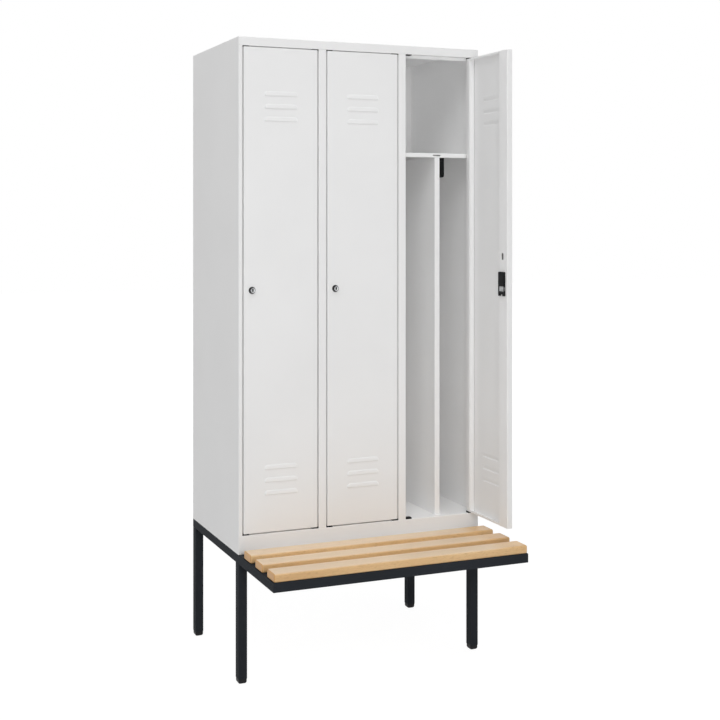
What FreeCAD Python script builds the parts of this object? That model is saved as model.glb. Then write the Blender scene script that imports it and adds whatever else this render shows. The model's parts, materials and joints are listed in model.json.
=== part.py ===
import FreeCAD, Part
import math
import os

# Clothes locker with three bays on a bench frame, in millimetres.
# +Z is up and -Y is the front. The origin lies on the floor, in the middle of the width
# and of the depth from the bench's front to the cabinet's back.

# Cabinet
cabinet_width = 900.0
cabinet_depth = 500.0
cabinet_height = 1700.0
bays = 3
sheet = 0.8
fold_radius = 2.0
end_post_width = 14.0
middle_post_width = 28.0
rail_height = 29.0
stop_lip_height = 10.5
sill_height = 61.5
roof_skirt = 15.0
floor_lip = 25.0

# Doors, hinged at their right edge; the last one stands open
door_depth = 20.0
lock_gap = 4.0
rail_gap = 3.0
sill_gap = 5.0
door_bend = 3.0
pivot_inset = 8.0
hinge_clearance = 0.4
stop_clearance = 1.4
hinge_lip = 22.0
lock_lip = 53.0
return_gap = 1.5
cap_lip = 6.0
open_angle = 90.0

# Pressed louvres, in an upper and a lower group on each door
louvres_in_group = 3
louvre_width = 120.0
louvre_crown_width = 100.0
louvre_height = 17.5
louvre_reach = 3.0
louvre_round = 6.0
louvre_pitch = 42.0
upper_louvre_drop = 160.5
lower_louvre_rise = 121.0

# Small holes for a number plate
plate_hole_radius = 1.6
plate_hole_spacing = 52.0
plate_hole_drop = 96.5

# Pivot pins, bushes and blanking plugs
pin_radius = 4.0
pin_reach = 10.0
collar_radius = 6.0
collar_height = 3.0
bush_radius = 6.5
bush_shank = 8.0
bush_flange_depth = 18.0
bush_flange_round = 3.0
bush_play = 0.3
running_clearance = 0.05
seat_clearance = 0.05

# Cylinder lock with a turning cam
lock_backset = 29.0
boss_radius = 12.0
boss_reach = 9.0
boss_face_radius = 8.6
barrel_radius = 9.0
plug_radius = 7.6
plug_recess = 0.8
keyhole_width = 3.0
keyhole_height = 8.5
keyhole_depth = 10.0
cam_clearance = 1.5
cam_thickness = 3.0
cam_reach = 42.0
cam_tongue = 14.0
hub_width = 28.0
hub_height = 17.0
hub_round = 4.0
cam_square = 6.0
cam_screw_radius = 1.5
cam_screw_length = 8.0
cam_screw_head_radius = 4.0
cam_screw_head_height = 1.2
housing_width = 34.0
housing_above = 57.0
housing_below = 24.0
housing_wall = 1.5
housing_base = 0.8
housing_room = 1.0
housing_round = 3.0
window_width = 30.0
notch_width = 18.0
notch_height = 6.0
lip_hole_radius = 7.0
lip_slot_width = 10.0
lip_slot_height = 22.0
lip_slot_rise = 98.0

# Hat shelves, clothes partitions and coat hooks
shelf_setback = 1.0
shelf_top = 1332.0
shelf_edge = 15.0
shelf_lip = 10.0
shelf_slot_width = 29.5
shelf_slot_shift = 2.5
shelf_slot_height = 4.5
partition_thickness = 20.0
hook_setback = 134.0
hook_width = 20.0
hook_corner = 5.0
hook_thickness = 5.0
hook_drop = 80.0
hook_span = 42.0
hook_tip = 30.0
hook_bend = 10.0
hook_base_length = 44.0
hook_base_height = 3.0
rivet_spacing = 24.0
rivet_radius = 2.0
rivet_head_radius = 3.5
rivet_head_height = 1.2

# Bench frame, legs and feet
bench_reach = 315.0
base_height = 425.0
tube = 30.0
tube_wall = 2.0
tube_corner = 1.2
foot_height = 17.0
foot_inset = 0.5
foot_corner = 3.0
foot_round = 9.0
spigot_length = 18.0
spigot_clearance = 0.1

# Seat slats
slats = 3
slat_width = 64.0
slat_thickness = 27.0
slat_gap = 40.0
slat_inset = 3.0
slat_round = 6.0

# Screws and bolts of the bench
bolt_radius = 3.0
bolt_clearance = 0.3
bolt_head_radius = 5.5
bolt_head_height = 3.5
slat_screw_bite = 16.0
cabinet_bolt_inset = 80.0
nut_sides = 6
nut_flats = 10.0
nut_height = 5.0

# How far a cutting shape runs past what it cuts
overrun = 2.0

# How nearly a run follows an axis to count as straight along it
straight_share = 0.99

# Places that follow from the sizes above
V = FreeCAD.Vector
half_width = cabinet_width / 2
inner_x = half_width - sheet
front_y = -(cabinet_depth - bench_reach) / 2
bench_y = front_y - bench_reach
back_y = front_y + cabinet_depth
inner_back_y = back_y - sheet
frame_back_y = front_y + door_depth
base_z = base_height
top_z = base_z + cabinet_height
floor_z = base_z + sill_height
rail_z = top_z - rail_height
bay_width = cabinet_width / bays
pivot_y = front_y + door_depth / 2
sweep = math.hypot(pivot_inset - door_bend, door_depth / 2 - door_bend) + door_bend
hinge_gap = sweep - pivot_inset + hinge_clearance
stop_y = pivot_y + sweep + stop_clearance
shelf_y = stop_y + shelf_setback
shelf_z = base_z + shelf_top
door_z = floor_z + sill_gap
door_top_z = rail_z - rail_gap
lock_z = (floor_z + rail_z) / 2
cam_y = frame_back_y + cam_clearance
cam_back_y = cam_y + cam_thickness
housing_back_y = cam_back_y + housing_room + housing_wall
tube_z = base_z - tube
tube_inner_corner = max(tube_corner - tube_wall, 0)


class Bay:
    # One bay: its walls, its opening and the door in it
    def __init__(self, number):
        self.number = number
        self.first = number == 1
        self.last = number == bays
        left_line = -half_width + (number - 1) * bay_width
        right_line = left_line + bay_width
        self.wall_left = -inner_x if self.first else left_line + sheet / 2
        self.wall_right = inner_x if self.last else right_line - sheet / 2
        self.left = left_line + (end_post_width if self.first else middle_post_width / 2)
        self.right = right_line - (end_post_width if self.last else middle_post_width / 2)
        self.middle = (left_line + right_line) / 2
        self.door_left = self.left + lock_gap
        self.door_right = self.right - hinge_gap
        self.door_middle = (self.door_left + self.door_right) / 2
        self.pivot_x = self.door_right - pivot_inset
        self.plug_x = self.left + pivot_inset + hinge_gap
        self.lock_x = self.door_left + lock_backset

    # Put a piece of the door where the door stands
    def hang(self, shape):
        if self.last:
            shape.rotate(V(self.pivot_x, pivot_y, 0), V(0, 0, 1), open_angle)
        return shape


all_bays = [Bay(number) for number in range(1, bays + 1)]


def save(name, *solids):
    shape = solids[0] if len(solids) == 1 else Part.makeCompound(list(solids))
    shape.exportStep("parts/" + name + ".step")
    print(name, len(shape.Solids), "solids", round(shape.Volume), "mm3", shape.isValid())


def box(x0, x1, y0, y1, z0, z1):
    return Part.makeBox(x1 - x0, y1 - y0, z1 - z0, V(x0, y0, z0))


def rod_y(x, y0, y1, z, radius):
    return Part.makeCylinder(radius, y1 - y0, V(x, y0, z), V(0, 1, 0))


def rod_z(x, y, z0, z1, radius):
    return Part.makeCylinder(radius, z1 - z0, V(x, y, z0))


# A flat face with corners (u, v, radius), each rounded by its own radius
def rounded_face(corners):
    edges = []
    joints = []
    for index, (u, v, radius) in enumerate(corners):
        here = V(u, v, 0)
        before = corners[index - 1]
        after = corners[(index + 1) % len(corners)]
        to_before = (V(before[0], before[1], 0) - here).normalize()
        to_after = (V(after[0], after[1], 0) - here).normalize()
        half_angle = to_before.getAngle(to_after) / 2
        trim = radius / math.tan(half_angle)
        inward = (to_before + to_after).normalize()
        crown = here + inward * (radius / math.sin(half_angle) - radius)
        joints.append((here + to_before * trim, crown, here + to_after * trim, radius))
    for index, (start, crown, end, radius) in enumerate(joints):
        edges.append(Part.LineSegment(joints[index - 1][2], start).toShape())
        if radius > 0:
            edges.append(Part.Arc(start, crown, end).toShape())
    return Part.Face(Part.Wire(edges))


def rectangle(u0, u1, v0, v1, radius):
    return rounded_face([(u0, v0, radius), (u1, v0, radius), (u1, v1, radius), (u0, v1, radius)])


# Section of a folded sheet: an open line and a second line, one thickness to its left (1) or right (-1)
def folded_face(path, side, thickness=sheet, bend=fold_radius):
    runs = [(V(*end, 0) - V(*start, 0)).normalize() for start, end in zip(path, path[1:])]
    normals = [V(-run.y, run.x, 0) * side for run in runs]
    outer = []
    inner = []
    for index, (u, v) in enumerate(path):
        into = max(index - 1, 0)
        out = min(index, len(runs) - 1)
        offset = (normals[into] + normals[out]) * (thickness / (1 + normals[into].dot(normals[out])))
        turn = runs[into].cross(runs[out]).z * side
        path_radius = 0
        offset_radius = 0
        if turn > 0:
            path_radius = bend
            offset_radius = bend - thickness
        elif turn < 0:
            path_radius = bend - thickness
            offset_radius = bend
        outer.append((u, v, path_radius))
        inner.append((u + offset.x, v + offset.y, offset_radius))
    return rounded_face(outer + inner[::-1])


# Extrude a face drawn in (x, y) upwards, in (y, z) to the right, or in (x, z) to the back
def rise(face, z0, z1):
    face.translate(V(0, 0, z0))
    return face.extrude(V(0, 0, z1 - z0))


def run_x(face, x0, x1):
    face.Placement = FreeCAD.Placement(V(x0, 0, 0), FreeCAD.Rotation(V(0, 1, 0), V(0, 0, 1), V(1, 0, 0)))
    return face.extrude(V(x1 - x0, 0, 0))


def run_y(face, y0, y1):
    face.Placement = FreeCAD.Placement(V(0, y0, 0), FreeCAD.Rotation(V(1, 0, 0), V(0, 0, 1), V(0, -1, 0)))
    return face.extrude(V(0, y1 - y0, 0))


def fuse(first, *others):
    return first.fuse(list(others)).removeSplitter()


# Side panels, dividing walls, back, roof and floor
def make_panels():
    for name, x0 in (("left_side_panel", -half_width), ("right_side_panel", inner_x)):
        save(name, box(x0, x0 + sheet, frame_back_y, back_y, base_z, top_z - sheet))
    stop_back_y = stop_y + sheet
    for bay in all_bays[:-1]:
        wall_x = bay.wall_right
        whole = box(wall_x, wall_x + sheet, front_y + sheet, inner_back_y, floor_z, top_z - sheet)
        notch = box(wall_x - overrun, wall_x + sheet + overrun, front_y - overrun, stop_back_y,
                    rail_z - stop_lip_height, top_z)
        save(f"dividing_wall_{bay.number}", whole.cut(notch))
    save("back_panel", box(-inner_x, inner_x, inner_back_y, back_y, base_z, top_z - sheet))
    roof = box(-half_width, half_width, frame_back_y, back_y, top_z - sheet, top_z)
    skirts = [box(x0, x0 + sheet, stop_back_y, inner_back_y, top_z - sheet - roof_skirt, top_z - sheet)
              for x0 in (-inner_x, inner_x - sheet)]
    save("roof_pan", fuse(roof, *skirts))
    lip_x = inner_x - floor_lip
    section = folded_face([(-lip_x, base_z), (-inner_x, base_z), (-inner_x, floor_z),
                           (inner_x, floor_z), (inner_x, base_z), (lip_x, base_z)], -1)
    pan = run_y(section, frame_back_y, inner_back_y)
    save("floor_pan", pan.cut(Part.makeCompound(cabinet_bolt_holes())))


# Corner places of the opening, where a bush or plug sits in the rail and in the sill
def corner_places():
    return [(x, z) for bay in all_bays for x in (bay.pivot_x, bay.plug_x) for z in (rail_z, floor_z)]


# Top rail, sill and posts of the front frame
def make_front_frame():
    seats = Part.makeCompound([rod_z(x, pivot_y, z - overrun, z + overrun, bush_radius + seat_clearance)
                               for x, z in corner_places()])
    rail = run_x(folded_face([(frame_back_y, top_z), (front_y, top_z), (front_y, rail_z),
                              (stop_y, rail_z), (stop_y, rail_z - stop_lip_height)], 1), -inner_x, inner_x)
    sill = run_x(folded_face([(frame_back_y, base_z), (front_y, base_z), (front_y, floor_z),
                              (frame_back_y, floor_z)], -1), -inner_x, inner_x)
    for name, strip, z0, z1 in (("top_rail", rail, rail_z, top_z), ("sill_rail", sill, base_z, floor_z)):
        ends = [run_x(rectangle_end(z0, z1), x0, x0 + sheet) for x0 in (-half_width, inner_x)]
        save(name, fuse(strip, *ends).cut(seats))
    lines = [-half_width + end_post_width / 2]
    lines += [-half_width + bay.number * bay_width for bay in all_bays[:-1]]
    lines += [half_width - end_post_width / 2]
    names = ["left_post"] + [f"middle_post_{bay.number}" for bay in all_bays[:-1]] + ["right_post"]
    for name, line in zip(names, lines):
        half = (end_post_width if name in ("left_post", "right_post") else middle_post_width) / 2
        section = folded_face([(line - half, frame_back_y), (line - half, front_y),
                               (line + half, front_y), (line + half, frame_back_y)], 1)
        save(name, rise(section, floor_z, rail_z))


# End plate of a rail, with its front corners rounded like the folds
def rectangle_end(z0, z1):
    return rounded_face([(front_y, z0, fold_radius), (frame_back_y, z0, 0),
                         (frame_back_y, z1, 0), (front_y, z1, fold_radius)])


# Shelves and partitions, and the hooks riveted under the shelves
def make_interior():
    hooks = []
    rivets = []
    under_z = shelf_z - sheet
    edge_z = shelf_z - shelf_edge
    slot_z = (shelf_z + edge_z - shelf_slot_height) / 2
    for bay in all_bays:
        section = folded_face([(shelf_y + shelf_lip, edge_z), (shelf_y, edge_z), (shelf_y, shelf_z),
                               (inner_back_y, shelf_z), (inner_back_y, edge_z)], -1)
        shelf = run_x(section, bay.wall_left, bay.wall_right)
        slot_x = bay.middle - shelf_slot_shift
        slot = box(slot_x - shelf_slot_width / 2, slot_x + shelf_slot_width / 2,
                   shelf_y - overrun, shelf_y + overrun, slot_z, slot_z + shelf_slot_height)
        half = partition_thickness / 2
        cuts = [slot]
        for wall_x, face_x in ((bay.wall_left, bay.middle - half), (bay.wall_right, bay.middle + half)):
            hook_x = (wall_x + face_x) / 2
            holes = rivet_holes(hook_x, under_z)
            hooks.append(coat_hook(hook_x, under_z).cut(Part.makeCompound(holes)))
            rivets += hook_rivets(hook_x, under_z)
            cuts += holes
        save(f"hat_shelf_{bay.number}", shelf.cut(Part.makeCompound(cuts)))
        section = folded_face([(bay.middle - half, inner_back_y), (bay.middle - half, shelf_y),
                               (bay.middle + half, shelf_y), (bay.middle + half, inner_back_y)], 1)
        save(f"clothes_partition_{bay.number}", rise(section, floor_z, edge_z))
    save("coat_hooks", *hooks)
    save("hook_rivets", *rivets)


def rivet_places():
    middle = front_y + hook_setback + hook_base_length / 2
    return [middle + side * rivet_spacing / 2 for side in (-1, 1)]


def rivet_holes(x, z):
    return [rod_z(x, y, z - hook_base_height - overrun, z + sheet + overrun, rivet_radius + seat_clearance)
            for y in rivet_places()]


def hook_rivets(x, z):
    base_z_low = z - hook_base_height
    made = []
    for y in rivet_places():
        shank = rod_z(x, y, base_z_low, z + sheet, rivet_radius)
        head = rod_z(x, y, base_z_low - rivet_head_height, base_z_low, rivet_head_radius)
        tail = rod_z(x, y, z + sheet, z + sheet + rivet_head_height, rivet_head_radius)
        made.append(fuse(shank, head, tail))
    return made


# Coat hook: a base under the shelf and a strip that hangs from its front end and turns up at the back,
# with its lower corners rounded
def coat_hook(x, z):
    y = front_y + hook_setback
    low_z = z - hook_drop
    left = x - hook_width / 2
    right = x + hook_width / 2
    path = [(y, z - hook_base_height), (y, low_z), (y + hook_span, low_z), (y + hook_span, low_z + hook_tip)]
    strip = run_x(folded_face(path, 1, hook_thickness, hook_bend), left, right)
    outline = rounded_face([(left, low_z, hook_corner), (right, low_z, hook_corner),
                            (right, z, 0), (left, z, 0)])
    strip = strip.common(run_y(outline, y - overrun, y + hook_span + overrun))
    return fuse(strip, box(left, right, y, y + hook_base_length, z - hook_base_height, z))


# Bushes that the pivot pins turn in, and plugs of the same shape at the other corners
def make_corner_pieces():
    flange_width = pivot_inset + hinge_gap
    bushes = []
    plugs = []
    for bay in all_bays:
        for x, group in ((bay.pivot_x, bushes), (bay.plug_x, plugs)):
            for z, side, gap in ((rail_z, 1, rail_gap), (floor_z, -1, sill_gap)):
                near = z - side * (gap - bush_play)
                far = z + side * bush_shank
                flange = rectangle(x - flange_width, x + flange_width, pivot_y - bush_flange_depth / 2,
                                   pivot_y + bush_flange_depth / 2, bush_flange_round)
                piece = fuse(rise(flange, min(near, z), max(near, z)),
                             rod_z(x, pivot_y, min(z, far), max(z, far), bush_radius))
                if group is bushes:
                    bore = rod_z(x, pivot_y, min(near, far) - overrun, max(near, far) + overrun,
                                 pin_radius + running_clearance)
                    piece = piece.cut(bore)
                group.append(piece)
    save("pivot_bushes", *bushes)
    save("blanking_plugs", *plugs)


# One pressed louvre, open at its lower edge, and the vent behind it
def louvre(x, z):
    half = louvre_width / 2
    crown = louvre_crown_width / 2
    lip_y = front_y - louvre_reach
    top = z + louvre_height
    foot_left = V(x - half, front_y, z)
    foot_right = V(x + half, front_y, z)
    top_left = V(x - crown, front_y, top)
    top_right = V(x + crown, front_y, top)
    lip_left = V(x - crown, lip_y, z)
    lip_right = V(x + crown, lip_y, z)
    loops = ((foot_left, top_left, top_right, foot_right), (foot_left, foot_right, lip_right, lip_left),
             (lip_left, lip_right, top_right, top_left), (foot_left, lip_left, top_left),
             (foot_right, top_right, lip_right))
    faces = [Part.Face(Part.makePolygon(list(loop) + [loop[0]])) for loop in loops]
    outer = Part.makeSolid(Part.makeShell(faces))
    ridges = [edge for edge in outer.Edges if is_ridge(edge, lip_y, x)]
    outer = outer.makeFillet(louvre_round, ridges)
    inner = outer.copy()
    inner.translate(V(0, sheet, -sheet))
    vent_height = louvre_height - sheet * (1 + louvre_height / louvre_reach)
    vent = box(x - crown + sheet, x + crown - sheet, front_y, front_y + overrun, z, z + vent_height)
    return outer.cut(inner), vent


# The two edges of a louvre that run from the ends of its lip up to its crown
def is_ridge(edge, lip_y, x):
    ends = [vertex.Point for vertex in edge.Vertexes]
    near_lip = min(point.y for point in ends) < lip_y + louvre_reach / 2
    near_skin = max(point.y for point in ends) > front_y - louvre_reach / 2
    inside = all(abs(point.x - x) < (louvre_crown_width + louvre_width) / 4 for point in ends)
    return near_lip and near_skin and inside


# Door leaf: a folded skin with boxed edges, a cap at each end, and its louvres
def door_leaf(bay):
    left = bay.door_left
    right = bay.door_right
    return_y = front_y + sheet + return_gap
    section = folded_face([(left + lock_lip, return_y), (left + lock_lip, frame_back_y),
                           (left, frame_back_y), (left, front_y), (right, front_y),
                           (right, frame_back_y), (right - hinge_lip, frame_back_y),
                           (right - hinge_lip, return_y)], 1, sheet, door_bend)
    leaf = rise(section, door_z, door_top_z)
    added = []
    for z0, lip_z in ((door_z, door_z + sheet), (door_top_z - sheet, door_top_z - sheet - cap_lip)):
        added.append(rise(rectangle(left, right, front_y, frame_back_y, door_bend), z0, z0 + sheet))
        added.append(box(left + lock_lip, right - hinge_lip, frame_back_y - sheet, frame_back_y,
                         lip_z, lip_z + cap_lip))
    cuts = [rod_z(bay.pivot_x, pivot_y, z - overrun, z + overrun, pin_radius + seat_clearance)
            for z in (door_z, door_top_z)]
    lowest = [door_z + lower_louvre_rise,
              door_top_z - upper_louvre_drop - (louvres_in_group - 1) * louvre_pitch]
    for start in lowest:
        for step in range(louvres_in_group):
            hood, vent = louvre(bay.door_middle, start + step * louvre_pitch)
            added.append(hood)
            cuts.append(vent)
    cuts.append(rod_y(bay.lock_x, front_y - overrun, frame_back_y + overrun, lock_z,
                      barrel_radius + seat_clearance))
    slot_z = lock_z + lip_slot_rise
    hole_z = slot_z + lip_slot_height - lip_hole_radius
    cuts.append(rod_y(bay.lock_x, frame_back_y - overrun, frame_back_y + overrun, hole_z, lip_hole_radius))
    cuts.append(box(bay.lock_x - lip_slot_width / 2, bay.lock_x + lip_slot_width / 2,
                    frame_back_y - overrun, frame_back_y + overrun, slot_z, hole_z))
    for side in (-1, 1):
        cuts.append(rod_y(bay.door_middle + side * plate_hole_spacing / 2, front_y - overrun,
                          front_y + overrun, door_top_z - plate_hole_drop, plate_hole_radius))
    return fuse(leaf, *added).cut(Part.makeCompound(cuts))


# Pins welded into the door's caps, each with a collar behind the cap
def hinge_pins(bay):
    pins = []
    for z, side in ((door_top_z, 1), (door_z, -1)):
        seat = z - side * sheet
        behind = seat - side * collar_height
        tip = z + side * pin_reach
        pins.append(fuse(rod_z(bay.pivot_x, pivot_y, min(behind, tip), max(behind, tip), pin_radius),
                         rod_z(bay.pivot_x, pivot_y, min(behind, seat), max(behind, seat), collar_radius)))
    return pins


# Fixed barrel of the lock, with a tapered boss that stands out of the door
def lock_barrel(bay):
    boss = Part.makeCone(boss_face_radius, boss_radius, boss_reach,
                         V(bay.lock_x, front_y - boss_reach, lock_z), V(0, 1, 0))
    body = rod_y(bay.lock_x, front_y, frame_back_y, lock_z, barrel_radius)
    bore = rod_y(bay.lock_x, front_y - boss_reach - overrun, frame_back_y + overrun, lock_z,
                 plug_radius + running_clearance)
    return fuse(boss, body).cut(bore)


# Moulded case round the cam, open at the side where the cam's tongue swings out
def lock_housing(bay):
    x = bay.lock_x
    half = housing_width / 2
    low = lock_z - housing_below
    high = lock_z + housing_above
    shell = run_y(rectangle(x - half, x + half, low, high, housing_round), frame_back_y, housing_back_y)
    base_y = frame_back_y + housing_base
    room = box(x - half + housing_wall, x + half - housing_wall, base_y,
               housing_back_y - housing_wall, low + housing_wall, high - housing_wall)
    plug_hole = rod_y(x, frame_back_y - overrun, base_y + overrun, lock_z, barrel_radius)
    swing_top = lock_z + math.hypot(cam_reach, cam_tongue / 2) + housing_room
    side_slot = box(x - half - overrun, x, base_y, housing_back_y - housing_wall,
                    lock_z - hub_height / 2 - housing_room, swing_top)
    window = box(x - window_width / 2, x + window_width / 2, base_y, housing_back_y + overrun,
                 lock_z - hub_height / 2, lock_z + hub_height / 2)
    notch = box(x - notch_width / 2, x + notch_width / 2, frame_back_y - overrun, housing_back_y + overrun,
                low - overrun, low + notch_height)
    return shell.cut(room).cut(side_slot).cut(window).cut(notch).cut(plug_hole)


# Plug that the key turns, with a square end for the cam and a thread for its screw
def lock_plug(bay):
    x = bay.lock_x
    face_y = front_y - boss_reach + plug_recess
    half = cam_square / 2
    body = rod_y(x, face_y, cam_y, lock_z, plug_radius)
    square = box(x - half, x + half, cam_y, cam_back_y, lock_z - half, lock_z + half)
    keyhole = box(x - keyhole_width / 2, x + keyhole_width / 2, face_y - overrun, face_y + keyhole_depth,
                  lock_z - keyhole_height / 2, lock_z + keyhole_height / 2)
    thread = rod_y(x, cam_back_y - cam_screw_length, cam_back_y + overrun, lock_z,
                   cam_screw_radius + seat_clearance)
    return fuse(body, square).cut(keyhole).cut(thread)


# Cam: a hub with a tongue that points up when unlocked
def lock_cam(bay):
    x = bay.lock_x
    tip = cam_tongue / 2
    half = cam_square / 2 + seat_clearance
    hub = run_y(rectangle(x - hub_width / 2, x + hub_width / 2, lock_z - hub_height / 2,
                          lock_z + hub_height / 2, hub_round), cam_y, cam_back_y)
    shank = box(x - tip, x + tip, cam_y, cam_back_y, lock_z, lock_z + cam_reach - tip)
    end = rod_y(x, cam_y, cam_back_y, lock_z + cam_reach - tip, tip)
    hole = box(x - half, x + half, cam_y - overrun, cam_back_y + overrun, lock_z - half, lock_z + half)
    return fuse(hub, shank, end).cut(hole)


def cam_screw(bay):
    shank = rod_y(bay.lock_x, cam_back_y - cam_screw_length, cam_back_y, lock_z, cam_screw_radius)
    head = rod_y(bay.lock_x, cam_back_y, cam_back_y + cam_screw_head_height, lock_z, cam_screw_head_radius)
    return fuse(shank, head)


def make_doors():
    for bay in all_bays:
        door = f"door_{bay.number}_"
        lock = f"lock_{bay.number}_"
        save(door + "leaf", bay.hang(door_leaf(bay)))
        save(door + "hinge_pins", *[bay.hang(pin) for pin in hinge_pins(bay)])
        save(door + "lock_housing", bay.hang(lock_housing(bay)))
        save(door + "lock_barrel", bay.hang(lock_barrel(bay)))
        save(lock + "plug", bay.hang(lock_plug(bay)))
        save(lock + "cam", bay.hang(lock_cam(bay)))
        save(lock + "cam_screw", bay.hang(cam_screw(bay)))


# Places of the bench's screws and bolts, all on the middle lines of the side rails
def side_rail_lines():
    return (-half_width + tube / 2, half_width - tube / 2)


def slat_places():
    return [bench_y + slat_width / 2 + index * (slat_width + slat_gap) for index in range(slats)]


def bolt_places():
    return [(x, y) for x in side_rail_lines()
            for y in (front_y + cabinet_bolt_inset, back_y - cabinet_bolt_inset)]


def cabinet_bolt_holes():
    return [rod_z(x, y, tube_z - overrun, base_z + sheet + overrun, bolt_radius + bolt_clearance)
            for x, y in bolt_places()]


def slat_screw_holes():
    return [rod_z(x, y, tube_z - overrun, base_z + overrun, bolt_radius + bolt_clearance)
            for x in side_rail_lines() for y in slat_places()]


# A pan-headed bolt from under the rail up to a given height
def bolt(x, y, top):
    return fuse(rod_z(x, y, tube_z, top, bolt_radius),
                rod_z(x, y, tube_z - bolt_head_height, tube_z, bolt_head_radius))


# Corners of the frame's plan, drawn in by a distance from its outer edge
def frame_corners(inset):
    return [(-half_width + inset, bench_y + inset), (half_width - inset, bench_y + inset),
            (half_width - inset, back_y - inset), (-half_width + inset, back_y - inset)]


# One side of the frame between two mitred corners, from an outer to an inner inset
def mitred_bar(index, outer_inset, inner_inset, z0, z1, corner):
    outer = frame_corners(outer_inset)
    inner = frame_corners(inner_inset)
    after = (index + 1) % len(outer)
    corners = [outer[index], outer[after], inner[after], inner[index]]
    bar = rise(rounded_face([(x, y, 0) for x, y in corners]), z0, z1)
    if corner > 0:
        bar = bar.makeFillet(corner, [edge for edge in bar.Edges if runs_along_wall(edge)])
    return bar


# True for an edge along X or Y, and not for a mitre's slanting or upright edge
def runs_along_wall(edge):
    start, end = [vertex.Point for vertex in edge.Vertexes]
    run = (end - start).normalize()
    return max(abs(run.x), abs(run.y)) > straight_share


def make_bench_frame():
    holes = Part.makeCompound(cabinet_bolt_holes() + slat_screw_holes())
    for index, name in enumerate(("front", "right", "rear", "left")):
        bar = mitred_bar(index, 0, tube, tube_z, base_z, tube_corner)
        hollow = mitred_bar(index, tube_wall, tube - tube_wall, tube_z + tube_wall, base_z - tube_wall,
                            tube_inner_corner)
        bar = bar.cut(hollow)
        save(f"bench_{name}_rail", bar.cut(holes) if name in ("left", "right") else bar)
    cross_x = half_width - tube
    cross = run_x(rectangle(front_y, front_y + tube, tube_z, base_z, tube_corner), -cross_x, cross_x)
    hollow = rectangle(front_y + tube_wall, front_y + tube - tube_wall, tube_z + tube_wall,
                       base_z - tube_wall, tube_inner_corner)
    save("bench_cross_rail", cross.cut(run_x(hollow, -cross_x - overrun, cross_x + overrun)))


# Legs under the cabinet's corners, each with a plastic foot pushed into its end
def make_legs():
    feet = []
    for side, x0 in (("left", -half_width), ("right", half_width - tube)):
        for end, y0 in (("front", front_y), ("rear", back_y - tube)):
            leg = rise(rectangle(x0, x0 + tube, y0, y0 + tube, tube_corner), foot_height, tube_z)
            hollow = rectangle(x0 + tube_wall, x0 + tube - tube_wall, y0 + tube_wall,
                               y0 + tube - tube_wall, tube_inner_corner)
            save(f"leg_{end}_{side}", leg.cut(rise(hollow, foot_height - overrun, tube_z + overrun)))
            feet.append(foot(x0, y0))
    save("feet", *feet)


def foot(x0, y0):
    pad = rise(rectangle(x0 + foot_inset, x0 + tube - foot_inset, y0 + foot_inset,
                         y0 + tube - foot_inset, foot_corner), 0, foot_height)
    rim = [edge for edge in pad.Edges if edge.BoundBox.ZMax < foot_height / 2]
    pad = pad.makeFillet(min(foot_round, foot_height / 2), rim)
    gap = tube_wall + spigot_clearance
    spigot = rectangle(x0 + gap, x0 + tube - gap, y0 + gap, y0 + tube - gap, tube_inner_corner)
    return fuse(pad, rise(spigot, foot_height, foot_height + spigot_length))


# Wooden slats across the side rails, screwed from below
def make_seat():
    screws = []
    for number, y in enumerate(slat_places(), 1):
        slat = run_x(rectangle(y - slat_width / 2, y + slat_width / 2, base_z, base_z + slat_thickness,
                               slat_round), -half_width + slat_inset, half_width - slat_inset)
        bite_z = base_z + slat_screw_bite
        holes = [rod_z(x, y, base_z - overrun, bite_z + overrun, bolt_radius + seat_clearance)
                 for x in side_rail_lines()]
        save(f"seat_slat_{number}", slat.cut(Part.makeCompound(holes)))
        screws += [bolt(x, y, bite_z) for x in side_rail_lines()]
    save("slat_screws", *screws)


# Bolts and nuts that hold the cabinet's floor pan down on the side rails
def make_cabinet_bolts():
    nuts = []
    nut_z = base_z + sheet
    nut_corner = nut_flats / 2 / math.cos(math.pi / nut_sides)
    turns = [math.tau * side / nut_sides for side in range(nut_sides + 1)]
    for x, y in bolt_places():
        points = [V(x + nut_corner * math.cos(turn), y + nut_corner * math.sin(turn), nut_z)
                  for turn in turns]
        nut = Part.Face(Part.makePolygon(points)).extrude(V(0, 0, nut_height))
        nuts.append(nut.cut(rod_z(x, y, nut_z - overrun, nut_z + nut_height + overrun,
                                  bolt_radius + seat_clearance)))
    save("cabinet_bolts", *[bolt(x, y, nut_z + nut_height) for x, y in bolt_places()])
    save("cabinet_nuts", *nuts)


os.makedirs("parts", exist_ok=True)
make_panels()
make_front_frame()
make_interior()
make_corner_pieces()
make_doors()
make_bench_frame()
make_legs()
make_seat()
make_cabinet_bolts()
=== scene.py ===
import bpy
import bmesh
import json
import math
from mathutils import Matrix, Vector


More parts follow.
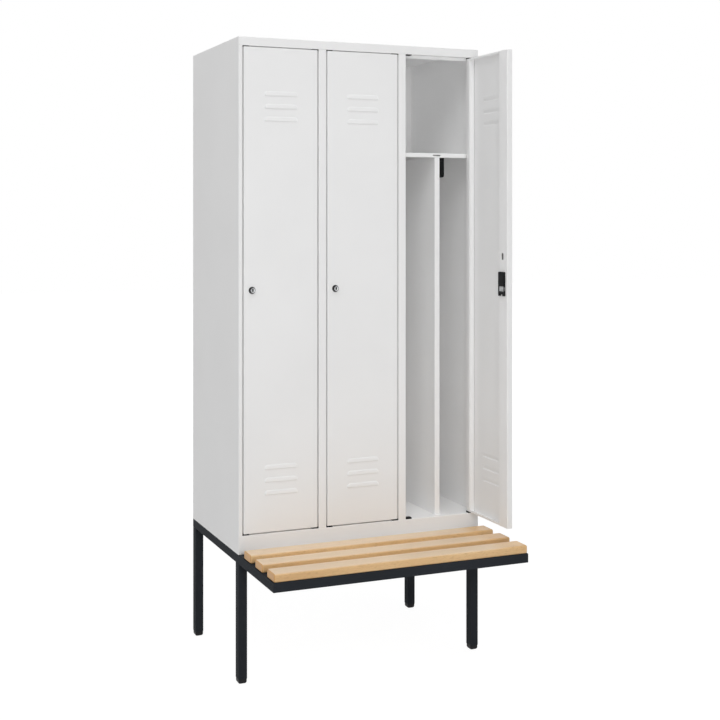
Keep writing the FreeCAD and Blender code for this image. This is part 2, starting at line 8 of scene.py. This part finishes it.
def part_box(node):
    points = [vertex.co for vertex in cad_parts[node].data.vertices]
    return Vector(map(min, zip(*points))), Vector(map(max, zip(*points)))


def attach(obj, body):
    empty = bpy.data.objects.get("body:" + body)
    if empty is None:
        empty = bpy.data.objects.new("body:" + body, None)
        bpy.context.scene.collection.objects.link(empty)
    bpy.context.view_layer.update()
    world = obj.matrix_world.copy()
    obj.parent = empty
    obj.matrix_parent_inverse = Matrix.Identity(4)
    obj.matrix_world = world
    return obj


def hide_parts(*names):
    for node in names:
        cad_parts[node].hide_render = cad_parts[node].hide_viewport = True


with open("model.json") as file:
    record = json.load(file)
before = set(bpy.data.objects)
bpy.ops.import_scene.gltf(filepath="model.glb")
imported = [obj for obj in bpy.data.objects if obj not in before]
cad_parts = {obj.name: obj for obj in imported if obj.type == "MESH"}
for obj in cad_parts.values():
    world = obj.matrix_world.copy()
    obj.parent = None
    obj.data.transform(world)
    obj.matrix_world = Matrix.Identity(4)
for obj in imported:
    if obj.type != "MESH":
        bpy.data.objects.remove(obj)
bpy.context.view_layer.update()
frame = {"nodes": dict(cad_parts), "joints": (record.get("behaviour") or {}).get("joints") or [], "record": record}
print("frame loaded with", len(frame["nodes"]), "nodes")

scene = bpy.context.scene
scene.view_settings.view_transform = "Standard"
# light goes on for many turns between the pale walls inside the bays
scene.cycles.max_bounces = 16
scene.cycles.diffuse_bounces = 12


# node wiring

class Wire:
    # one output socket of a node tree, usable in plain arithmetic
    def __init__(self, tree, socket=None):
        self.tree = tree
        self.socket = socket

    # any node: its settings first, then the values or links of its sockets
    def node(self, kind, sockets=None, settings=None, out=0):
        made = self.tree.nodes.new(kind)
        for name, value in (settings or {}).items():
            if name == "stops":
                setStops(made.color_ramp.elements, value)
            else:
                setattr(made, name, value)
        for name, value in (sockets or {}).items():
            self.plug(made.inputs[name], value)
        return Wire(self.tree, made.outputs[out] if made.outputs else None)

    def plug(self, socket, value):
        if isinstance(value, list):
            for one in value:
                self.plug(socket, one)
        elif isinstance(value, Wire):
            self.tree.links.new(value.socket, socket)
        else:
            socket.default_value = value

    # another output of the same node
    def also(self, name):
        return Wire(self.tree, self.socket.node.outputs[name])

    def math(self, operation, *values):
        return self.node("ShaderNodeMath", dict(enumerate(values)), {"operation": operation})

    def __add__(self, other):
        return self.math("ADD", self, other)

    def __radd__(self, other):
        return self.math("ADD", other, self)

    def __sub__(self, other):
        return self.math("SUBTRACT", self, other)

    def __rsub__(self, other):
        return self.math("SUBTRACT", other, self)

    def __mul__(self, other):
        return self.math("MULTIPLY", self, other)

    def __rmul__(self, other):
        return self.math("MULTIPLY", other, self)

    def __truediv__(self, other):
        return self.math("DIVIDE", self, other)

    def __rtruediv__(self, other):
        return self.math("DIVIDE", other, self)

    def __neg__(self):
        return self.math("MULTIPLY", self, -1.0)

    # 0 below low, 1 above high, smooth in between
    def between(self, low, high):
        return self.node("ShaderNodeMapRange", {"Value": self, "From Min": low, "From Max": high},
                         {"interpolation_type": "SMOOTHSTEP"})

    # a noise, whose own middle is a half, turned into a value that swings about another middle
    def about(self, middle, span):
        return middle + (self - 0.5) * span

    # colour from one to the other as this value goes from 0 to 1; Mix tells its colour sockets by number
    def tint(self, dark, light):
        return self.node("ShaderNodeMix", {0: self, 6: dark, 7: light}, {"data_type": "RGBA"}, out=2)


def setStops(elements, stops):
    while len(elements) < len(stops):
        elements.new(0.5)
    for element, (place, colour) in zip(elements, stops):
        element.position = place
        element.color = colour


# linear colour from the 0 to 255 values of a picture, by the sRGB curve
def shade(colour):
    def line(value):
        value /= 255
        return value / 12.92 if value <= 0.04045 else ((value + 0.055) / 1.055) ** 2.4
    return (*map(line, colour), 1.0)


def grey(value):
    return (value, value, value, 1.0)


# finishes

def startFinish(name):
    material = bpy.data.materials.new(name)
    material.use_nodes = True
    material.node_tree.nodes.clear()
    return material, Wire(material.node_tree)


def endFinish(start, sockets):
    shader = start.node("ShaderNodeBsdfPrincipled", sockets)
    start.node("ShaderNodeOutputMaterial", {"Surface": shader})


def objectPlace(start, scale=(1, 1, 1)):
    place = start.node("ShaderNodeTexCoord", out="Object")
    return start.node("ShaderNodeMapping", {"Vector": place, "Scale": scale})


def attribute(start, name):
    return start.node("ShaderNodeAttribute", settings={"attribute_name": name}, out="Fac")


def noise(start, vector, scale, detail, roughness=0.5):
    return start.node("ShaderNodeTexNoise", {"Vector": vector, "Scale": scale, "Detail": detail,
                                             "Roughness": roughness})


def bump(start, height, strength, distance):
    return start.node("ShaderNodeBump", {"Height": height, "Strength": strength, "Distance": distance})


# powder coat: a faint orange peel and slow changes of gloss
coatGrain = {"cloudScale": 2.6, "cloudDetail": 3.0, "cloudSpan": (0.3, 0.7), "peelScale": 330.0,
             "peelDetail": 1.5, "fineScale": 1400.0, "fineDetail": 1.0, "bump": 0.35, "bumpDepth": 0.00012}
lightPaint = {"main": (248, 248, 248), "dark": (245, 245, 245), "rough": 0.42, "roughSpan": 0.16,
              "peel": 1.0, "fine": 0.25, "shine": 0.28}
blackPaint = {"main": (50, 53, 58), "dark": (45, 48, 52), "rough": 0.5, "roughSpan": 0.2,
              "peel": 0.7, "fine": 0.7, "shine": 0.015}


def makePaint(name, look):
    material, start = startFinish(name)
    place = objectPlace(start)
    cloud = noise(start, place, coatGrain["cloudScale"], coatGrain["cloudDetail"])
    peel = noise(start, place, coatGrain["peelScale"], coatGrain["peelDetail"])
    fine = noise(start, place, coatGrain["fineScale"], coatGrain["fineDetail"])
    height = peel * look["peel"] + fine * look["fine"]
    endFinish(start, {
        "Base Color": cloud.between(*coatGrain["cloudSpan"]).tint(shade(look["dark"]), shade(look["main"])),
        "Roughness": peel.about(look["rough"], look["roughSpan"]),
        "Normal": bump(start, height, coatGrain["bump"], coatGrain["bumpDepth"]),
        "Specular IOR Level": look["shine"],
    })
    return material


# varnished beech: slow bands along the slat, fine lines, patches and short dark flecks; a painted pale sheen on
# the upward faces that fades out towards the right end; darker on the end grain
beechLook = {
    "deep": (216, 174, 121), "mid": (230, 190, 137), "pale": (240, 205, 155),
    "toneStops": (0.34, 0.5, 0.66),
    "bands": {"stretch": (1.6, 26, 26), "detail": 3.0, "roughness": 0.55, "share": 0.55},
    "lines": {"stretch": (5, 260, 260), "detail": 3.0, "roughness": 0.6, "share": 0.25},
    "patches": {"stretch": (4, 9, 9), "detail": 2.0, "roughness": 0.5, "share": 0.2},
    "flecks": {"stretch": (70, 900, 900), "detail": 1.0, "roughness": 0.4, "share": 0.55},
    "fleck": (172, 126, 82), "fleckSpan": (0.6, 0.72), "fleckSink": 0.5,
    # the pale tint below, its share and the span where it fades out paint a sheen on the upward faces: a painted
    # reflection
    "seat": (249, 236, 218), "sheenShare": 0.43, "sheenFadeSpan": (0.31, 0.4),
    "end": (216, 162, 98), "endShare": 0.8, "slatShift": (3.7, 1.3, 2.1),
    "rough": 0.36, "roughSpan": 0.16, "bump": 0.18, "bumpDepth": 0.0003,
    "shine": 0.3, "varnish": 0.25, "varnishRough": 0.3}


def makeBeech(look):
    material, start = startFinish("beech")
    seed, end = attribute(start, "slatSeed"), attribute(start, "endGrain")
    place = start.node("ShaderNodeTexCoord", out="Object")
    shifts = {axis: seed * step for axis, step in zip("XYZ", look["slatShift"])}
    shift = start.node("ShaderNodeCombineXYZ", shifts)
    moved = start.node("ShaderNodeVectorMath", {0: place, 1: shift}, {"operation": "ADD"})

    def grain(layer):
        stretched = start.node("ShaderNodeMapping", {"Vector": moved, "Scale": layer["stretch"]})
        return noise(start, stretched, 1.0, layer["detail"], layer["roughness"])

    lines = grain(look["lines"])
    tone = (grain(look["bands"]) * look["bands"]["share"] + lines * look["lines"]["share"]
            + grain(look["patches"]) * look["patches"]["share"])
    tones = [shade(look[name]) for name in ("deep", "mid", "pale")]
    body = start.node("ShaderNodeValToRGB", {"Fac": tone}, {"stops": list(zip(look["toneStops"], tones))})
    mark = grain(look["flecks"]).between(*look["fleckSpan"]) * look["flecks"]["share"]
    flecked = mark.tint(body, shade(look["fleck"]))
    along = start.node("ShaderNodeSeparateXYZ", {0: place})
    # painted sheen: the upward faces are tinted pale, less and less towards the right end
    wearAndSheen = attribute(start, "seatFace") * (1 - along.between(*look["sheenFadeSpan"])) * look["sheenShare"]
    sheenedWood = wearAndSheen.tint(flecked, shade(look["seat"]))
    endFinish(start, {
        "Base Color": (end * look["endShare"]).tint(sheenedWood, shade(look["end"])),
        "Roughness": lines.about(look["rough"], look["roughSpan"]),
        "Normal": bump(start, lines - mark * look["fleckSink"], look["bump"], look["bumpDepth"]),
        "Specular IOR Level": look["shine"],
        "Coat Weight": look["varnish"] * (1 - end),
        "Coat Roughness": look["varnishRough"],
    })
    return material


# moulded black plastic with a fine spark-eroded grain
plasticLook = {"main": (29, 29, 31), "dark": (22, 22, 24), "cloudScale": 22.0, "cloudDetail": 3.0,
               "cloudSpan": (0.35, 0.65), "grainScale": 1800.0, "grainDetail": 2.0, "rough": 0.5,
               "roughSpan": 0.25, "bump": 0.3, "bumpDepth": 0.0001, "shine": 0.2}


def makePlastic(look):
    material, start = startFinish("blackPlastic")
    place = objectPlace(start)
    cloud = noise(start, place, look["cloudScale"], look["cloudDetail"])
    grain = noise(start, place, look["grainScale"], look["grainDetail"])
    endFinish(start, {
        "Base Color": cloud.between(*look["cloudSpan"]).tint(shade(look["dark"]), shade(look["main"])),
        "Roughness": grain.about(look["rough"], look["roughSpan"]),
        "Normal": bump(start, grain, look["bump"], look["bumpDepth"]),
        "Specular IOR Level": look["shine"],
    })
    return material


# dark lacquer on the lock's boss, thinner in places
lacquerLook = {"thin": (58, 58, 60), "dark": (36, 36, 38), "wearScale": 240.0, "wearDetail": 4.0,
               "wearSpan": (0.55, 0.75), "rough": 0.36, "roughSpan": 0.2, "bump": 0.1, "bumpDepth": 0.0001,
               "shine": 0.2}


def makeLacquer(look):
    material, start = startFinish("darkLacquer")
    wearAndSheen = noise(start, objectPlace(start), look["wearScale"], look["wearDetail"])
    endFinish(start, {
        "Base Color": wearAndSheen.between(*look["wearSpan"]).tint(shade(look["dark"]), shade(look["thin"])),
        "Roughness": wearAndSheen.about(look["rough"], look["roughSpan"]),
        "Normal": bump(start, wearAndSheen, look["bump"], look["bumpDepth"]),
        "Specular IOR Level": look["shine"],
    })
    return material


# zinc plate: a grey metal with a faint brushed line and cloudy gloss, with painted shade, near black, inside the
# keyway
zincLook = {"bright": (224, 225, 226), "dull": (198, 200, 202), "keyway": (20, 20, 22),
            "cloudScale": 120.0, "cloudDetail": 3.0, "cloudSpan": (0.3, 0.7),
            "brushStretch": (2500, 2500, 60), "brushDetail": 2.0, "rough": 0.34, "roughSpan": 0.25,
            "bump": 0.12, "bumpDepth": 0.00005, "metal": 0.6}


def makeZinc(look):
    material, start = startFinish("zincPlate")
    cloud = noise(start, objectPlace(start), look["cloudScale"], look["cloudDetail"])
    brush = noise(start, objectPlace(start, look["brushStretch"]), 1.0, look["brushDetail"])
    plate = cloud.between(*look["cloudSpan"]).tint(shade(look["dull"]), shade(look["bright"]))
    endFinish(start, {
        # painted shade: the faces inside the keyway are coloured near black
        "Base Color": attribute(start, "recess").tint(plate, shade(look["keyway"])),
        "Roughness": cloud.about(look["rough"], look["roughSpan"]),
        "Metallic": look["metal"],
        "Normal": bump(start, brush, look["bump"], look["bumpDepth"]),
    })
    return material


finishes = {
    "light_paint": makePaint("lightPaint", lightPaint),
    "black_paint": makePaint("blackPaint", blackPaint),
    "beech": makeBeech(beechLook),
    "black_plastic": makePlastic(plasticLook),
    "dark_metal": makeLacquer(lacquerLook),
    "zinc": makeZinc(zincLook),
}

for subpart in frame["record"]["subparts"]:
    node = frame["nodes"][subpart["node"]]
    for materialSlot in node.material_slots:
        materialSlot.material = finishes[subpart["material_slot"]]
print("finishes made:", ", ".join(finishes))


# pieces

joints = {joint["name"]: joint for joint in frame["joints"]}
doorNumbers = (1, 2, 3)
mergeReach = 1e-6
smoothAngle = math.radians(35)


def addObject(name, data):
    made = bpy.data.objects.new(name, data)
    scene.collection.objects.link(made)
    return made


def putIn(name, mesh, body):
    piece = addObject(name, mesh)
    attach(piece, body)
    return piece


# smooth shading that stays flat on the flats
def soften(piece):
    piece.data.polygons.foreach_set("use_smooth", [True] * len(piece.data.polygons))
    piece.data.set_sharp_from_angle(angle=smoothAngle)
    weights = piece.modifiers.new("flatFaces", "WEIGHTED_NORMAL")
    weights.keep_sharp = True


# a merged copy of a node's mesh, to be worked on
def nodeCopy(name):
    copy = bmesh.new()
    copy.from_mesh(frame["nodes"][name].data)
    bmesh.ops.remove_doubles(copy, verts=copy.verts, dist=mergeReach)
    return copy


# the worked copy as a plain mesh in one finish
def plainMesh(name, worked, finish):
    mesh = bpy.data.meshes.new(name)
    worked.to_mesh(mesh)
    worked.free()
    mesh.materials.clear()
    mesh.materials.append(finish)
    mesh.polygons.foreach_set("material_index", [0] * len(mesh.polygons))
    return mesh


# an empty geometry tree with named inputs, and its wires
def startTree(name, inputs):
    tree = bpy.data.node_groups.new(name, "GeometryNodeTree")
    tree.interface.new_socket("Geometry", in_out="INPUT", socket_type="NodeSocketGeometry")
    tree.interface.new_socket("Geometry", in_out="OUTPUT", socket_type="NodeSocketGeometry")
    for label, value in inputs.items():
        kind = "NodeSocketInt" if isinstance(value, int) else "NodeSocketFloat"
        tree.interface.new_socket(label, in_out="INPUT", socket_type=kind)
    start = Wire(tree).node("NodeGroupInput")
    return tree, start, {label: start.also(label) for label in inputs}


def endTree(start, instances, material):
    solid = start.node("GeometryNodeRealizeInstances", {"Geometry": instances})
    painted = start.node("GeometryNodeSetMaterial", {"Geometry": solid, "Material": material})
    start.node("NodeGroupOutput", {0: painted})


# runs a tree on a set of points and keeps the result as a plain mesh
def growMesh(name, tree, values, points):
    seedMesh = bpy.data.meshes.new(name + "Points")
    seedMesh.from_pydata(points, [], [])
    grower = addObject(name + "Grower", seedMesh)
    modifier = grower.modifiers.new("grow", "NODES")
    modifier.node_group = tree
    for item in tree.interface.items_tree:
        if item.in_out == "INPUT" and item.name in values:
            modifier[item.identifier] = values[item.name]
    bpy.context.view_layer.update()
    depsgraph = bpy.context.evaluated_depsgraph_get()
    mesh = bpy.data.meshes.new_from_object(grower.evaluated_get(depsgraph), preserve_all_data_layers=True,
                                           depsgraph=depsgraph)
    mesh.name = name
    bpy.data.objects.remove(grower)
    return mesh


# doors: the folded leaf from the frame with soft pressed louvres in place of its plain hoods
louvreSizes = {"Width": 0.121, "Height": 0.018, "Reach": 0.0026, "Wall": 0.005, "Corner": 0.014,
               "Shoulder": 0.6, "Sheet": 0.0008, "Sink": 0.0003, "Lip": 0.004, "Lip Share": 0.5,
               "Across": 97, "Up": 37}
louvrePlaces = {"upperDrop": 0.1605, "lowerRise": 0.121, "pitch": 0.042, "count": 3}
plateHoles = {"drop": 0.0965, "spacing": 0.052, "radius": 0.0018, "sink": 0.00075, "depth": 0.0005,
              "sides": 20}

doorLow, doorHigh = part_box("door_1_leaf")
doorMiddle = (doorLow.x + doorHigh.x) / 2
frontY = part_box("left_post")[0].y
proudReach = 1e-5


# a hood that rises from its rounded top and ends, leans out towards its foot, and turns in again at its lip
def louvreTree():
    tree, start, size = startTree("louvre", louvreSizes)
    grid = start.node("GeometryNodeMeshGrid", {"Size X": size["Width"], "Size Y": size["Height"],
                                               "Vertices X": size["Across"], "Vertices Y": size["Up"]})
    across = start.node("ShaderNodeSeparateXYZ", {0: start.node("GeometryNodeInputPosition")})
    up = across.also("Y") + size["Height"] * 0.5
    pastSide = start.math("ABSOLUTE", across) - (size["Width"] * 0.5 - size["Corner"])
    pastTop = up - (size["Height"] - size["Corner"])
    sideRun = start.math("MAXIMUM", pastSide, 0.0)
    topRun = start.math("MAXIMUM", pastTop, 0.0)
    fromCorner = start.math("SQRT", sideRun * sideRun + topRun * topRun)
    flat = start.math("MINIMUM", start.math("MAXIMUM", pastSide, pastTop), 0.0)
    wall = ((size["Corner"] - fromCorner - flat) / size["Wall"]).between(0.0, 1.0)
    lean = 1.0 - up / size["Height"] * (1.0 - size["Shoulder"])
    turnedIn = size["Lip Share"] + (up / size["Lip"]).between(0.0, 1.0) * (1.0 - size["Lip Share"])
    stand = wall * lean * turnedIn * (size["Reach"] + size["Sink"]) - size["Sink"]
    inner = start.node("ShaderNodeCombineXYZ", {"X": across, "Y": size["Sheet"] - stand, "Z": up})
    back = start.node("GeometryNodeSetPosition", {"Geometry": grid, "Position": inner})
    outward = start.node("ShaderNodeCombineXYZ", {"Y": -size["Sheet"]})
    front = start.node("GeometryNodeExtrudeMesh", {"Mesh": back, "Offset": outward, "Offset Scale": 1.0,
                                                   "Individual": False})
    turned = start.node("GeometryNodeFlipFaces", {"Mesh": back})
    both = start.node("GeometryNodeJoinGeometry", {0: [front, turned]})
    hood = start.node("GeometryNodeMergeByDistance", {"Geometry": both, "Distance": mergeReach})
    hoods = start.node("GeometryNodeInstanceOnPoints", {"Points": start, "Instance": hood})
    endTree(start, hoods, finishes["light_paint"])
    return tree


def louvrePoints():
    steps = [louvrePlaces["pitch"] * step for step in range(louvrePlaces["count"])]
    lowest = doorLow.z + louvrePlaces["lowerRise"]
    lowestUpper = doorHigh.z - louvrePlaces["upperDrop"] - steps[-1]
    return [(doorMiddle, frontY, first + step) for first in (lowest, lowestUpper) for step in steps]


# the frame's own leaf with its plain hoods taken off
def bareLeaf():
    bare = nodeCopy("door_1_leaf")
    proud = [face for face in bare.faces if face.calc_center_median().y < frontY - proudReach]
    bmesh.ops.delete(bare, geom=proud, context="FACES")
    return bare


# painted bottoms that close the two small holes for a number plate
def closeHoles(bare):
    radius = plateHoles["radius"]
    faceOn = Matrix.Rotation(math.radians(90), 4, "X")
    for side in (-1, 1):
        place = Vector((doorMiddle + side * plateHoles["spacing"] / 2, frontY + plateHoles["sink"],
                        doorHigh.z - plateHoles["drop"]))
        bmesh.ops.create_cone(bare, cap_ends=True, segments=plateHoles["sides"], radius1=radius,
                              radius2=radius, depth=plateHoles["depth"],
                              matrix=Matrix.Translation(place) @ faceOn)


def makeDoors():
    leaf = bareLeaf()
    leaf.from_mesh(growMesh("louvres", louvreTree(), louvreSizes, louvrePoints()))
    closeHoles(leaf)
    closed = plainMesh("louvredDoor", leaf, finishes["light_paint"])
    hinge = Vector(joints["door_1_swing"]["pos_m"])
    for number in doorNumbers:
        swing = joints[f"door_{number}_swing"]
        shut = swing["range_deg"][0]  # counted from the door's angle at rest
        turn = Matrix.Rotation(math.radians(-shut), 4, "Z")
        mesh = closed.copy()
        mesh.transform(Matrix.Translation(swing["pos_m"]) @ turn @ Matrix.Translation(-hinge))
        piece = putIn(f"louvredDoor_{number}", mesh, f"door_{number}")
        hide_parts(f"door_{number}_leaf")
        soften(piece)
    print("doors with", len(louvrePoints()), "louvres each")


makeDoors()


# lock plugs: the frame's own, with the keyway's mouth opened up and its faces marked for painted shade
plugSizes = {"keywayReach": 0.0047, "keywayDepth": 0.0025, "wider": 1.4, "taller": 1.15}


def makePlug(number):
    turn = joints[f"lock_{number}_turn"]
    centre, axis = Vector(turn["pos_m"]), Vector(turn["axis"]).normalized()
    upright = Vector((0, 0, 1))
    across = axis.cross(upright)
    plug = nodeCopy(f"lock_{number}_plug")
    recess = plug.faces.layers.float.new("recess")
    # faces inside the keyway are marked for painted shade
    for face in plug.faces:
        reach = max((vert.co - centre).cross(axis).length for vert in face.verts)
        face[recess] = float(reach < plugSizes["keywayReach"])
    keyway = {vert for face in plug.faces if face[recess] for vert in face.verts}
    for vert in keyway:
        offset = vert.co - centre
        if offset.dot(axis) > -plugSizes["keywayDepth"]:
            vert.co += across * offset.dot(across) * (plugSizes["wider"] - 1)
            vert.co += upright * offset.dot(upright) * (plugSizes["taller"] - 1)
    mesh = plainMesh(f"lockPlug_{number}", plug, finishes["zinc"])
    piece = putIn(f"lockPlug_{number}", mesh, f"lock_{number}")
    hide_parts(f"lock_{number}_plug")
    soften(piece)


for number in doorNumbers:
    makePlug(number)
print("lock plugs with their keyways marked")


# bench: rounded slats laid across the side rails, marked on their end grain and on their upward faces, which get a
# painted sheen
slatLow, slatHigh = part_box("seat_slat_1")
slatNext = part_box("seat_slat_2")[0]
slatSizes = {"Length": slatHigh.x - slatLow.x, "Width": slatHigh.y - slatLow.y,
             "Thickness": slatHigh.z - slatLow.z, "Round": 0.006, "Pitch": slatNext.y - slatLow.y,
             "Count": 3, "Corner Steps": 6}
slatEdge = {"chamfer": 0.004, "steps": 3, "sharp": 60.0}
slatMarks = {"endSpan": (0.6, 0.9), "sheenSpan": (0.4, 1.0)}


# a value kept under a name on the faces or on the instances
def storeMark(start, geometry, name, value, domain):
    return start.node("GeometryNodeStoreNamedAttribute",
                      {"Geometry": geometry, "Name": name, "Value": value},
                      {"data_type": "FLOAT", "domain": domain})


def slatTree():
    tree, start, size = startTree("slats", slatSizes)
    section = start.node("GeometryNodeCurvePrimitiveQuadrilateral", {"Width": size["Width"],
                                                                     "Height": size["Thickness"]})
    rounded = start.node("GeometryNodeFilletCurve", {"Curve": section, "Radius": size["Round"],
                                                     "Count": size["Corner Steps"]}, {"mode": "POLY"})
    leftEnd = start.node("ShaderNodeCombineXYZ", {"X": size["Length"] * -0.5})
    rightEnd = start.node("ShaderNodeCombineXYZ", {"X": size["Length"] * 0.5})
    line = start.node("GeometryNodeCurvePrimitiveLine", {"Start": leftEnd, "End": rightEnd})
    bar = start.node("GeometryNodeCurveToMesh", {"Curve": line, "Profile Curve": rounded,
                                                 "Fill Caps": True})
    facing = start.node("ShaderNodeSeparateXYZ", {0: start.node("GeometryNodeInputNormal")})
    sideways = start.math("ABSOLUTE", facing).between(*slatMarks["endSpan"])
    # the upward faces are marked for the painted sheen
    upwards = facing.also("Z").between(*slatMarks["sheenSpan"])
    ended = storeMark(start, bar, "endGrain", sideways, "FACE")
    slat = storeMark(start, ended, "seatFace", upwards, "FACE")
    step = start.node("ShaderNodeCombineXYZ", {"Y": size["Pitch"]})
    places = start.node("GeometryNodeMeshLine", {"Count": size["Count"], "Offset": step})
    laid = start.node("GeometryNodeInstanceOnPoints", {"Points": places, "Instance": slat})
    seeded = storeMark(start, laid, "slatSeed", start.node("GeometryNodeInputIndex"), "INSTANCE")
    endTree(start, seeded, finishes["beech"])
    return tree


def makeSlats():
    mesh = growMesh("seatSlats", slatTree(), slatSizes, [])
    mesh.transform(Matrix.Translation((slatLow + slatHigh) / 2))
    piece = putIn("seatSlats", mesh, "cabinet")
    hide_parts("seat_slat_1", "seat_slat_2", "seat_slat_3")
    edge = piece.modifiers.new("endChamfer", "BEVEL")
    edge.width = slatEdge["chamfer"]
    edge.segments = slatEdge["steps"]
    edge.limit_method = "ANGLE"
    edge.angle_limit = math.radians(slatEdge["sharp"])
    soften(piece)
    print("slats laid", [round(value, 4) for value in slatSizes.values()])


makeSlats()


# stage

skyLook = {"ambient": 0.2, "back": 0.45, "right": 0.23}
floorLook = {"size": 40.0, "glow": 0.93, "shadow": 0.16, "bounce": 0.8, "shadowSpan": (1.6, 3.2)}


# 1 for rays that show the background, 0 for rays that light the object
def seenRays(start):
    path = start.node("ShaderNodeLightPath", out="Is Camera Ray")
    shown = start.math("MAXIMUM", path, path.also("Is Glossy Ray"))
    return start.math("MAXIMUM", shown, path.also("Is Transmission Ray"))


def makeWorld():
    world = bpy.data.worlds.new("studio")
    world.use_nodes = True
    world.node_tree.nodes.clear()
    scene.world = world
    start = Wire(world.node_tree)
    seen = seenRays(start)
    right = start.node("ShaderNodeSeparateXYZ", {0: start.node("ShaderNodeTexCoord", out="Generated")})
    light = skyLook["ambient"]
    for side, share in {"back": right.also("Y"), "right": right}.items():
        light = start.math("MAXIMUM", share, 0.0) * skyLook[side] + light
    sky = start.node("ShaderNodeBackground", {"Color": grey(1.0), "Strength": seen + (1 - seen) * light})
    start.node("ShaderNodeOutputWorld", {"Surface": sky})


# white paper that shows the shadow near the object and bounces light on to it
def makeFloor():
    half = floorLook["size"] / 2
    corners = [(-half, -half, 0), (half, -half, 0), (half, half, 0), (-half, half, 0)]
    mesh = bpy.data.meshes.new("floor")
    mesh.from_pydata(corners, [], [(0, 1, 2, 3)])
    material, start = startFinish("floorPaper")
    bounce = start.node("ShaderNodeBsdfDiffuse", {"Color": grey(floorLook["bounce"])})
    shadow = start.node("ShaderNodeBsdfDiffuse", {"Color": grey(floorLook["shadow"])})
    place = start.node("ShaderNodeTexCoord", out="Object")
    away = start.node("ShaderNodeVectorMath", {0: place}, {"operation": "LENGTH"}, out="Value")
    far = away.between(*floorLook["shadowSpan"])
    glow = start.node("ShaderNodeEmission", {"Color": far.tint(grey(floorLook["glow"]), grey(1.0))})
    shown = start.node("ShaderNodeAddShader", {0: shadow, 1: glow})
    mixed = start.node("ShaderNodeMixShader", {0: seenRays(start), 1: bounce, 2: shown})
    start.node("ShaderNodeOutputMaterial", {"Surface": mixed})
    mesh.materials.append(material)
    addObject("floor", mesh)


lamps = {
    "highLeftBox": {"place": (-3.5, -5.0, 7.5), "aim": (0.0, 0.0, 0.8), "size": 4.0, "power": 169.0},
    "highFrontBox": {"place": (0.0, -2.5, 8.0), "aim": (0.0, 0.0, 0.8), "size": 4.0, "power": 114.0},
    "frontBox": {"place": (-0.9, -3.4, 1.85), "aim": (0.0, 0.0, 1.7), "size": 1.5, "power": 21.0},
    "lowBox": {"place": (0.2, -4.5, 1.0), "aim": (0.0, 0.0, 0.7), "size": 2.0, "power": 10.3},
    "leftBox": {"place": (-4.0, 0.2, 3.2), "aim": (0.0, 0.0, 1.6), "size": 2.0, "power": 17.5},
}


def makeLamps():
    for name, lamp in lamps.items():
        light = bpy.data.lights.new(name, "AREA")
        light.energy = lamp["power"]
        light.size = lamp["size"]
        holder = addObject(name, light)
        holder.location = lamp["place"]
        aim = Vector(lamp["aim"]) - Vector(lamp["place"])
        holder.rotation_euler = aim.to_track_quat("-Z", "Y").to_euler()


# level camera, as the photograph's upright edges ask
cameraView = {"place": (-1.726, -3.6895, 1.529), "tilt": 90.0, "turn": -20.51, "lens": 58.265,
              "sensor": 36.0, "shiftX": 0.14097, "shiftY": -0.19708}


def makeCamera():
    data = bpy.data.cameras.new("camera")
    data.lens = cameraView["lens"]
    data.sensor_width = cameraView["sensor"]
    data.shift_x = cameraView["shiftX"]
    data.shift_y = cameraView["shiftY"]
    camera = addObject("camera", data)
    camera.location = cameraView["place"]
    camera.rotation_euler = (math.radians(cameraView["tilt"]), 0, math.radians(cameraView["turn"]))
    scene.camera = camera


makeWorld()
makeFloor()
makeLamps()
makeCamera()
print("stage, lamps and camera set")
